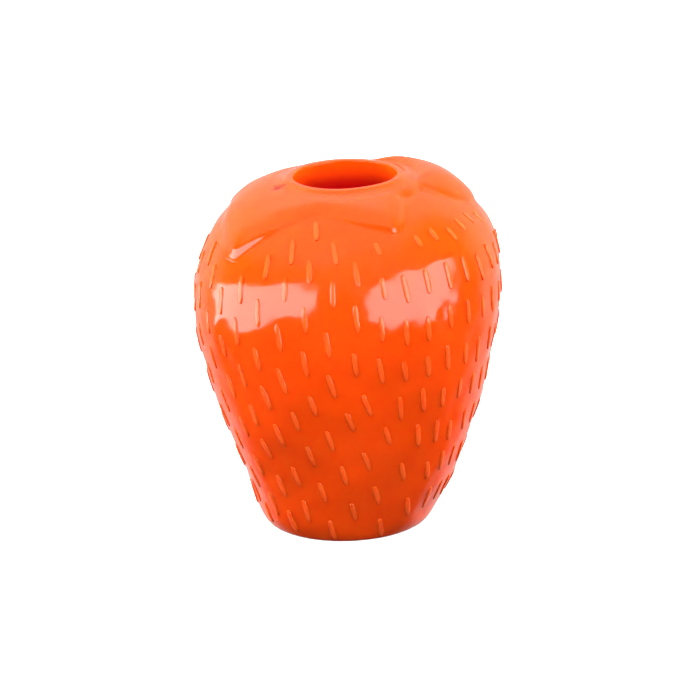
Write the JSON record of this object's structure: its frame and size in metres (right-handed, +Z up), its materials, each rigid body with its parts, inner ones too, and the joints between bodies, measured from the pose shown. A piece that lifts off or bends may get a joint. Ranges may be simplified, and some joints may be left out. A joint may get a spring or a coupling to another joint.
{
  "type": "dog toy",
  "caption": "Hollow strawberry-shaped chew toy of glossy orange elastomer, with raised seeds, a leaf crown and a round mouth on top for filling it with treats.",
  "frame": {"origin": "on the surface that the toy stands on, under the middle of its width and depth", "axes": "+Z up through the mouth, -Y towards the side that the picture shows, +X to the right as seen in the picture"},
  "size_m": [0.0752, 0.075, 0.0866],
  "materials": {
    "berry_elastomer": "glossy, slightly translucent orange moulding",
    "crown_elastomer": "glossy, slightly translucent orange moulding"
  },
  "bodies": {
    "root": {"berry_body": "berry_elastomer", "leaf_crown": "crown_elastomer"}
  },
  "joints": []
}
